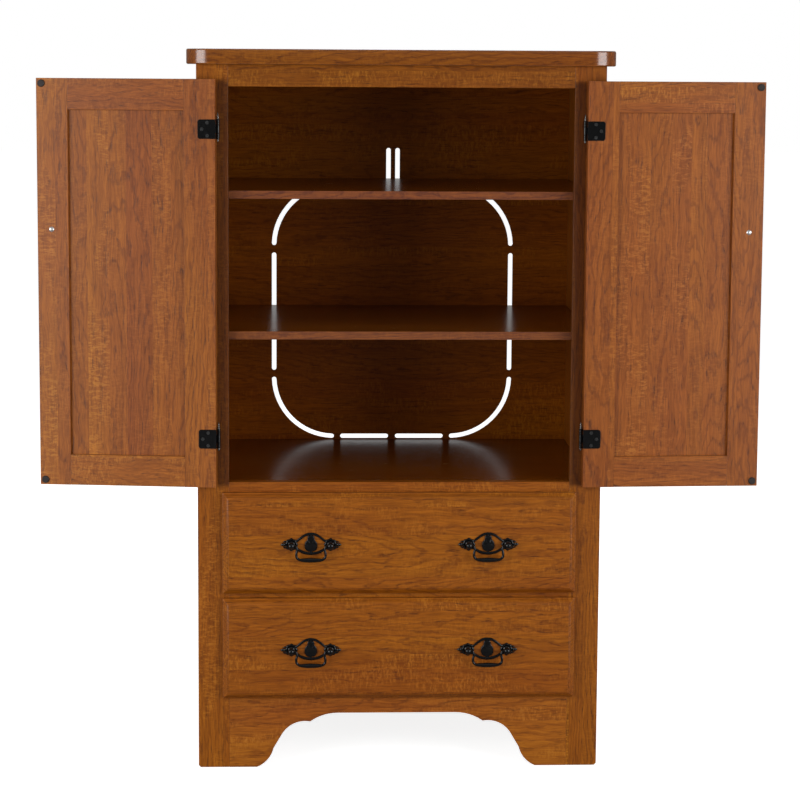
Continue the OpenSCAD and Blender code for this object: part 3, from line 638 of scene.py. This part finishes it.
def dress_boards():
    for seed, (node, axes, tone, bevel) in enumerate(BOARDS, 1):
        dress(node, plain_board("oak_" + node, axes, seed, tone), bevel)
    dress("top_panel", slab_board("oak_top_panel", 0), SLAB_BEVEL)
    for seed, node in enumerate(["left_stile", "right_stile"], STILE_SEED):
        dress(node, stile_board("oak_" + node, seed), BOARD_BEVEL)
    for seed, node in enumerate(["upper_shelf", "middle_shelf", "deck"], SHELF_SEED):
        dress(node, shelf_board("oak_" + node, seed), BOARD_BEVEL)
    dress("back_panel", back_board("oak_back_panel"), SHEET_BEVEL)


# Dark line and ground
PLY = (rgb(168, 128, 84), rgb(214, 182, 136))
PINE = (rgb(176, 128, 72), rgb(222, 184, 124))

# Node, material, grain direction, seed, tones and bevel in mm
INNER_WOOD = [
    ("upper_drawer_sides", "ply_upper_drawer_sides", DEEP, 30, PLY, 0.8),
    ("upper_drawer_ends", "ply_upper_drawer_ends", LEVEL, 40, PLY, 0.8),
    ("upper_drawer_bottom", "ply_upper_drawer_bottom", TABLE, 50, PLY, 0.3),
    ("lower_drawer_sides", "ply_lower_drawer_sides", DEEP, 31, PLY, 0.8),
    ("lower_drawer_ends", "ply_lower_drawer_ends", LEVEL, 41, PLY, 0.8),
    ("lower_drawer_bottom", "ply_lower_drawer_bottom", TABLE, 51, PLY, 0.3),
    ("cleats", "pine_cleats", DEEP, 60, PINE, 1.0),
    ("corner_blocks", "pine_blocks", UPRIGHT, 61, PINE, 1.0),
    ("runner_spacers", "pine_spacers", DEEP, 62, PINE, 1.0),
]


def dress_inner_wood():
    for node, name, axes, seed, tones, bevel in INNER_WOOD:
        dress(node, pale_wood(name, axes, seed, *tones), bevel)


LEAF_BEVEL = 0.25
RUNNER_BEVEL = 0.2
ROLLER_BEVEL = 0.5


def dress_hardware():
    """The finishes of the metal, plastic and rubber parts, and the pieces made of them."""
    iron = plain_metal("black_iron", rgb(8, 8, 9), 0.16, metallic=0.0, grain=420.0, sheen=0.34)
    screw = plain_metal("iron_screws", rgb(72, 72, 72), 0.3, metallic=0.8)
    burnished = plain_metal("burnished_iron", rgb(132, 130, 128), 0.24)
    bright = plain_metal("bright_steel", rgb(235, 235, 235), 0.34)
    runner = moulded_plastic("runner_paint", rgb(222, 216, 200), 0.4)
    nylon = moulded_plastic("nylon_white", rgb(235, 233, 226), 0.45)
    rubber = moulded_plastic("rubber_brown", rgb(28, 15, 9), 0.6)
    glide = moulded_plastic("glide_black", rgb(30, 28, 28), 0.5)
    dress("hinge_frame_wings", iron, LEAF_BEVEL)
    dress("hinge_pins", burnished)
    dress("hinge_frame_screws", screw)
    for side in ("left", "right"):
        dress(side + "_door_hinge_leaves", iron, LEAF_BEVEL)
        dress(side + "_door_hinge_screws", screw)
        dress(side + "_door_bumpers", rubber)
        dress(side + "_door_knob", iron)
        dress(side + "_door_knob_screw", bright)
    for level in ("upper", "lower"):
        dress(level + "_drawer_runners", runner, RUNNER_BEVEL)
        dress(level + "_cabinet_rollers", nylon, ROLLER_BEVEL)
        dress(level + "_drawer_rollers", nylon, ROLLER_BEVEL)
    dress("cabinet_runners", runner, RUNNER_BEVEL)
    dress("shelf_pins", bright)
    dress("foot_glides", glide)
    make_details(iron, burnished, bright)


# ---------- Making pieces ----------

FLOW_STEPS = 6


def between(a, b, c, d, t):
    """Catmull-Rom curve: from b to c as t goes from 0 to 1."""
    slope = c - a
    bend = 2 * a - 5 * b + 4 * c - d
    twist = 3 * b - a - 3 * c + d
    return 0.5 * (2 * b + slope * t + bend * t**2 + twist * t**3)


def flow(knots):
    """A smooth line through the knots, which are tuples of the same length."""
    last = len(knots) - 1
    line = []
    for i in range(last):
        near = [knots[min(max(j, 0), last)] for j in (i - 1, i, i + 1, i + 2)]
        for k in range(FLOW_STEPS):
            line.append(tuple(between(*values, k / FLOW_STEPS) for values in zip(*near)))
    line.append(tuple(knots[-1]))
    return line


def mirrored(knots):
    """The knots, then the same ones with x reversed, from one end to the other."""
    return knots + [(-k[0], *k[1:]) for k in reversed(knots[:-1])]


def join_rings(bm, rings):
    """Closes a stack of equal rings into one solid with a cap at each end."""
    for low, high in zip(rings, rings[1:]):
        for k in range(len(low)):
            n = (k + 1) % len(low)
            bm.faces.new((low[k], low[n], high[n], high[k]))
    bm.faces.new(rings[0])
    bm.faces.new(rings[-1])


def sweep(bm, knots, place, depth, squeeze=1.0, sides=14):
    """A tube through knots (x, z, radius) in the plane that stands depth in front of place."""
    line = flow(knots)
    rings = []
    for i, (x, z, radius) in enumerate(line):
        before, after = line[max(i - 1, 0)], line[min(i + 1, len(line) - 1)]
        run = Vector((after[0] - before[0], after[1] - before[1])).normalized()
        ring = []
        for k in range(sides):
            angle = math.tau * k / sides
            across, out = radius * math.cos(angle), radius * squeeze * math.sin(angle)
            point = Vector((x - run.y * across, -depth - out, z + run.x * across))
            ring.append(bm.verts.new(place @ (point * MM)))
        rings.append(ring)
    join_rings(bm, rings)


# Smallest radius of a turned profile, so that its tip is still a ring
THINNEST = 0.02


def turned(bm, profile, place, sides=24, lobes=0):
    """A turned solid about place's z axis. The profile holds (radius, height, share of lobing)."""
    rings = []
    for radius, height, share in profile:
        ring = []
        for k in range(sides):
            angle = math.tau * k / sides
            reach = max(radius, THINNEST) * (1 + share * math.cos(lobes * angle))
            point = Vector((reach * math.cos(angle), reach * math.sin(angle), height))
            ring.append(bm.verts.new(place @ (point * MM)))
        rings.append(ring)
    join_rings(bm, rings)


def layered(bm, outline, layers, centre, place):
    """A flat casting: the outline (x, z) at each (scale about the centre, height) of the layers."""
    rings = []
    for scale, out in layers:
        ring = []
        for x, z in outline:
            point = Vector((x * scale, -out, centre + (z - centre) * scale))
            ring.append(bm.verts.new(place @ (point * MM)))
        rings.append(ring)
    join_rings(bm, rings)


def piece(name, bm, body, material, slot, *stands_for):
    """Makes the mesh into an object that rides on a body, with smooth sides and flat caps."""
    bmesh.ops.recalc_face_normals(bm, faces=bm.faces)
    mesh = bpy.data.meshes.new(name)
    bm.to_mesh(mesh)
    bm.free()
    mesh.materials.append(material)
    for face in mesh.polygons:
        face.use_smooth = len(face.vertices) <= 4
    made = bpy.data.objects.new(name, mesh)
    bpy.context.scene.collection.objects.link(made)
    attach(made, body)
    if stands_for:
        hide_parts(*stands_for)


def facing(x, y, z, direction):
    """A place in metres whose z axis points along the direction."""
    turn = Vector(direction).to_track_quat("Z", "Y").to_matrix().to_4x4()
    return Matrix.Translation((x, y, z)) @ turn


# ---------- Drawer pulls ----------

POST_HALF = 38.1
BAIL_OUT = 12.0

# Rods of the backplate and the bail: knots (x, z, radius), x across the pull and z up from its middle
ARCH = mirrored([
    (-34, 2.6, 1.8), (-28.5, 5.8, 2.1), (-20.5, 12.4, 2.3),
    (-13.5, 17.4, 2.5), (-7, 20.4, 2.7), (0, 21.2, 2.8),
])
UNDER_ARC = mirrored([(-32, -3.5, 2.0), (-25.5, -9.5, 2.5), (-14, -15.6, 2.8), (0, -17.9, 3.0)])
BAIL = mirrored([
    (36.4, 0, 1.6), (31, 0, 1.7), (28.2, -2.4, 2.1), (27.0, -9, 2.3), (28.4, -16.6, 2.5),
    (27.6, -23.4, 2.5), (22.8, -27.6, 2.6), (17, -28.6, 3.5), (9, -28.8, 4.3), (0, -28.8, 4.5),
])
STEMS = [
    [(0, -18, 1.8), (0, -12, 1.8)],
    [(0, 16.5, 1.8), (0, 21.5, 1.8)],
]
FINIAL = [(48, 0, 2.2), (51, 0, 3.6), (53.4, 0, 2.5), (55.4, 0, 3.1), (58, 0, 1.5), (59.2, 0, 0.3)]
FINIAL_LEAF = [(46.5, 3.5, 1.5), (49.8, 6.1, 1.6), (52.8, 5.2, 1.1), (54.4, 3.4, 0.4)]

# How far each rod's middle stands out from the drawer front, and its thickness over its width
ARCH_OUT = 1.5
ARCH_FLAT = 0.62
UNDER_ARC_FLAT = 0.6
STEM_OUT = 1.3
FINIAL_OUT = 1.6
LEAF_FLAT = 0.7

# Right half of the medallion's outline (x, z) from its foot to its crown
MEDALLION = [
    (0, -14.2), (5.6, -13.4), (9.8, -10.6), (12, -6), (12.4, -1), (11.6, 3.6), (9.4, 6.8),
    (7.4, 9), (6.6, 11.6), (6.7, 14), (5.8, 16.6), (3.4, 18.2), (0, 18.6),
]
MEDALLION_LAYERS = [
    (0.96, 0), (1.0, 0.8), (1.0, 2.0), (0.9, 2.9), (0.8, 2.2), (0.72, 2.3), (0.5, 3.2), (0.2, 3.6),
]
MEDALLION_MIDDLE = -1.5

# Profiles (radius, height, share of lobing) out from the drawer front
ROSETTE = [
    (10.8, 0, 0.06), (12.2, 0.6, 0.07), (12.0, 1.7, 0.08), (10.4, 3.0, 0.09),
    (8.4, 2.9, 0.06), (7.4, 2.1, 0.0), (6.0, 2.3, 0.0),
]
ROSETTE_LOBES = 8
POST = [
    (6.6, 2.0, 0), (7.2, 2.9, 0), (6.0, 3.9, 0), (4.2, 4.8, 0), (3.7, 6.4, 0),
    (4.0, 8.0, 0), (5.4, 9.4, 0), (6.5, 11.6, 0), (6.8, 14.2, 0), (6.4, 16.8, 0),
    (5.2, 19.0, 0), (3.4, 20.5, 0), (1.6, 21.1, 0), (0.4, 21.2, 0),
]


def pull_place(level, side):
    """Where a pull's own coordinates sit: on the drawer front, at the height of its middle."""
    low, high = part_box(level + "_drawer_front")
    bail_low, bail_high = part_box(f"{level}_{side}_bail")
    return Matrix.Translation(((bail_low.x + bail_high.x) / 2, low.y, (low.z + high.z) / 2))


def post_place(place, side):
    """The foot of a post, with its z axis straight out of the drawer front."""
    return place @ Matrix.Translation((side * POST_HALF * MM, 0, 0)) @ facing(0, 0, 0, (0, -1, 0))


def pull_plate(bm, place):
    """The openwork backplate: two arcs, the medallion on its stems, the rosettes and the finials."""
    sweep(bm, ARCH, place, ARCH_OUT, ARCH_FLAT)
    sweep(bm, UNDER_ARC, place, ARCH_OUT, UNDER_ARC_FLAT)
    outline = MEDALLION + [(-x, z) for x, z in reversed(MEDALLION[1:-1])]
    layered(bm, outline, MEDALLION_LAYERS, MEDALLION_MIDDLE, place)
    for stem in STEMS:
        sweep(bm, stem, place, STEM_OUT, UNDER_ARC_FLAT)
    for side in BOTH:
        turned(bm, ROSETTE, post_place(place, side), sides=48, lobes=ROSETTE_LOBES)
        sweep(bm, [(side * x, z, r) for x, z, r in FINIAL], place, FINIAL_OUT, ARCH_FLAT)
        for up in BOTH:
            leaf = [(side * x, up * z, r) for x, z, r in FINIAL_LEAF]
            sweep(bm, leaf, place, STEM_OUT, LEAF_FLAT, sides=10)


def make_pulls(material):
    for level in ("upper", "lower"):
        plates, posts = bmesh.new(), bmesh.new()
        for side in ("left", "right"):
            place = pull_place(level, side)
            pull_plate(plates, place)
            for end in BOTH:
                turned(posts, POST, post_place(place, end), sides=28)
            bail = bmesh.new()
            sweep(bail, BAIL, place, BAIL_OUT, sides=16)
            name = f"{level}_{side}_bail"
            piece(name + "_cast", bail, name, material, "black_iron", name)
        body = level + "_drawer"
        piece(body + "_pull_plates", plates, body, material, "black_iron", body + "_backplates")
        piece(body + "_pull_posts", posts, body, material, "black_iron", body + "_posts")


# ---------- Hinge pins ----------

HINGE_PIN = [
    (0.8, -24.2, 0), (2.0, -23.2, 0), (2.3, -21.8, 0), (1.6, -20.4, 0), (2.9, -20.0, 0),
    (2.9, -18.8, 0), (1.55, -18.7, 0), (1.55, 18.7, 0), (2.9, 18.8, 0), (2.9, 20.0, 0),
    (1.5, 20.4, 0), (2.4, 21.2, 0), (2.7, 22.6, 0), (2.2, 24.2, 0), (1.2, 25.0, 0),
    (1.9, 26.0, 0), (2.0, 27.2, 0), (1.3, 28.6, 0), (0.8, 30.4, 0), (0.3, 32.0, 0),
]
KNUCKLE_BEAD = [(3.45, -0.9, 0), (3.8, -0.5, 0), (3.9, 0, 0), (3.8, 0.5, 0), (3.45, 0.9, 0)]
BEAD_AT = (8.6, 13.0, 17.3)
LEAF_H = 37.0
PIN_R = 2.9
PIN_FACETS = 20


def make_hinge_pins(pin_metal, bead_metal):
    """Turned pins with a steeple above, and the beads on the frame wings' knuckles."""
    low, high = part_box("hinge_pins")
    leaf_low, leaf_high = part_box("left_door_hinge_leaves")
    half = LEAF_H / 2 * MM
    pins, beads = bmesh.new(), bmesh.new()
    for x in (low.x + PIN_R * MM, high.x - PIN_R * MM):
        for z in (leaf_low.z + half, leaf_high.z - half):
            place = Matrix.Translation((x, (low.y + high.y) / 2, z))
            turned(pins, HINGE_PIN, place, sides=PIN_FACETS)
            for height in [side * h for h in BEAD_AT for side in BOTH]:
                knuckle = place @ Matrix.Translation((0, 0, height * MM))
                turned(beads, KNUCKLE_BEAD, knuckle, sides=PIN_FACETS)
    piece("hinge_pin_steeples", pins, "cabinet", pin_metal, "black_iron", "hinge_pins")
    piece("hinge_knuckle_beads", beads, "cabinet", bead_metal, "black_iron")


# ---------- Nails and screws ----------

NAIL = [(2.3, -0.3, 0), (2.4, 0.1, 0), (1.8, 0.5, 0), (0.8, 0.7, 0)]
NAIL_INSET = 9.0
NAIL_SPACING = 95.0
SCREW = [
    (3.6, -0.2, 0), (3.7, 0.3, 0), (3.2, 0.8, 0), (2.2, 1.05, 0),
    (1.9, 1.05, 0.35), (1.2, 0.35, 0.35), (0.3, 0.1, 0),
]
DRIVE_LOBES = 4

# Runner sections, and the screws' places from each runner's front end
RUNNER_H = 32.0
RUNNER_SHEET = 1.2
RUNNER_SCREWS = (60.0, 200.0, 340.0)
MEMBER_SCREWS = (40.0, 180.0, 320.0)

# Screws into the drawer front: shares of the box end's width and height, and its thickness
FRONT_SCREWS_ACROSS = (0.12, 0.38, 0.62, 0.88)
FRONT_SCREWS_UP = (0.25, 0.78)
END_T = 12.0


def along(low, high, spacing):
    """Even steps from low to high, close to the spacing."""
    count = max(1, round((high - low) / spacing))
    return [low + (high - low) * i / count for i in range(count + 1)]


def make_back_nails(material):
    """Nails up both sides of the back panel, along its top and along the deck."""
    low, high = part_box("back_panel")
    inset = NAIL_INSET * MM
    spacing = NAIL_SPACING * MM
    uprights = along(low.z + inset, high.z - inset, spacing)
    places = [(x, z) for x in (low.x + inset, high.x - inset) for z in uprights]
    across = along(low.x + inset, high.x - inset, spacing)[1:-1]
    deck_low, deck_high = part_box("deck")
    for z in (high.z - inset, (deck_low.z + deck_high.z) / 2):
        places += [(x, z) for x in across]
    bm = bmesh.new()
    for x, z in places:
        turned(bm, NAIL, facing(x, high.y, z, (0, 1, 0)), sides=12)
    piece("back_panel_nails", bm, "cabinet", material, "bright_steel")


def make_cabinet_runner_screws(material):
    low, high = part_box("cabinet_runners")
    middles = (low.z + RUNNER_H / 2 * MM, high.z - RUNNER_H / 2 * MM)
    bm = bmesh.new()
    for side in BOTH:
        wall = side * (high.x - RUNNER_SHEET * MM)
        for z in middles:
            for y in RUNNER_SCREWS:
                turned(bm, SCREW, facing(wall, low.y + y * MM, z, (-side, 0, 0)), lobes=DRIVE_LOBES)
    piece("cabinet_runner_screws", bm, "cabinet", material, "bright_steel")


def make_drawer_runner_screws(body, material):
    low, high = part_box(body + "_runners")
    side_low, side_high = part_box(body + "_sides")
    z = (low.z + high.z) / 2
    bm = bmesh.new()
    for side in BOTH:
        wall = side * (side_high.x + RUNNER_SHEET * MM)
        for y in MEMBER_SCREWS:
            turned(bm, SCREW, facing(wall, low.y + y * MM, z, (side, 0, 0)), lobes=DRIVE_LOBES)
    piece(body + "_runner_screws", bm, body, material, "bright_steel")


def make_drawer_front_screws(body, material):
    low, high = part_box(body + "_ends")
    y = low.y + END_T * MM
    bm = bmesh.new()
    for across in FRONT_SCREWS_ACROSS:
        x = low.x + (high.x - low.x) * across
        for up in FRONT_SCREWS_UP:
            z = low.z + (high.z - low.z) * up
            turned(bm, SCREW, facing(x, y, z, (0, 1, 0)), lobes=DRIVE_LOBES)
    piece(body + "_front_screws", bm, body, material, "bright_steel")


def make_details(iron, burnished, bright):
    make_hinge_pins(burnished, iron)
    make_pulls(iron)
    make_back_nails(bright)
    make_cabinet_runner_screws(bright)
    for drawer in ("upper_drawer", "lower_drawer"):
        make_drawer_runner_screws(drawer, bright)
        make_drawer_front_screws(drawer, bright)


# ---------- Build ----------

bpy.context.scene.view_settings.view_transform = "Standard"
make_camera()
make_world()
make_lights()
make_floor()
dress_boards()
dress_inner_wood()
dress_hardware()
